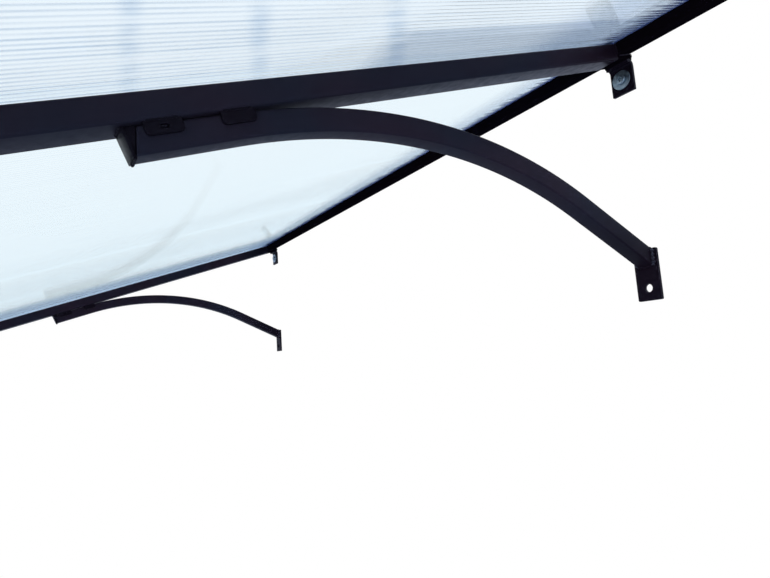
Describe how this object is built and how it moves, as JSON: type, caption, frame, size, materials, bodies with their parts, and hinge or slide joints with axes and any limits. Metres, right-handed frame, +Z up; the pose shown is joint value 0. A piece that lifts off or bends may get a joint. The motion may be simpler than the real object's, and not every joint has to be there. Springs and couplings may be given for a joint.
{
  "type": "door canopy",
  "caption": "Sloping polycarbonate door canopy: twin-wall sheets on a black tube frame, held to the wall by bent tabs and curved support arms.",
  "frame": {"origin": "on the back face of the middle wall tab, below its hole, in the plane of the wall", "axes": "+X along the wall, +Y into the wall, +Z up; the canopy stands out towards -Y and slopes down away from the wall"},
  "size_m": [2.3946, 0.794, 0.3281],
  "materials": {
    "black_paint": "gloss black paint over welded steel tube and flat bar, faintly purple in the light",
    "black_plastic": "moulded black plastic plug",
    "zinc": "bright zinc plated steel, slightly blue",
    "polycarbonate": "clear extruded twin-wall polycarbonate with fine flutes, seen bright against the sky",
    "clear_trim": "clear extruded polycarbonate, cap bars and closing trim"
  },
  "bodies": {
    "root": {"wall_rail": "black_paint", "front_rail": "black_paint", "wall_rail_plug_left": "black_plastic", "wall_rail_plug_right": "black_plastic", "front_rail_plug_left": "black_plastic", "front_rail_plug_right": "black_plastic", "rafter_left": "black_paint", "rafter_middle": "black_paint", "rafter_right": "black_paint", "sheet_left": "polycarbonate", "sheet_right": "polycarbonate", "cap_bar_left": "clear_trim", "cap_bar_middle": "clear_trim", "cap_bar_right": "clear_trim", "front_trim_left": "clear_trim", "front_trim_right": "clear_trim", "roof_screw_left_1": "zinc", "roof_screw_left_2": "zinc", "roof_screw_middle_1": "zinc", "roof_screw_middle_2": "zinc", "roof_screw_right_1": "zinc", "roof_screw_right_2": "zinc", "arm_left": "black_paint", "arm_middle": "black_paint", "arm_right": "black_paint", "arm_end_plate_left": "black_paint", "arm_end_plate_middle": "black_paint", "arm_end_plate_right": "black_paint", "arm_lug_left_outer_l": "black_paint", "arm_lug_left_outer_r": "black_paint", "arm_lug_left_inner_l": "black_paint", "arm_lug_left_inner_r": "black_paint", "arm_lug_middle_outer_l": "black_paint", "arm_lug_middle_outer_r": "black_paint", "arm_lug_middle_inner_l": "black_paint", "arm_lug_middle_inner_r": "black_paint", "arm_lug_right_outer_l": "black_paint", "arm_lug_right_outer_r": "black_paint", "arm_lug_right_inner_l": "black_paint", "arm_lug_right_inner_r": "black_paint", "arm_wall_plate_left": "black_paint", "arm_wall_plate_middle": "black_paint", "arm_wall_plate_right": "black_paint", "wall_tab_left": "black_paint", "wall_tab_middle": "black_paint", "wall_tab_right": "black_paint", "tab_washer_left": "zinc", "tab_washer_middle": "zinc", "tab_washer_right": "zinc", "tab_screw_left": "zinc", "tab_screw_middle": "zinc", "tab_screw_right": "zinc"}
  },
  "joints": []
}
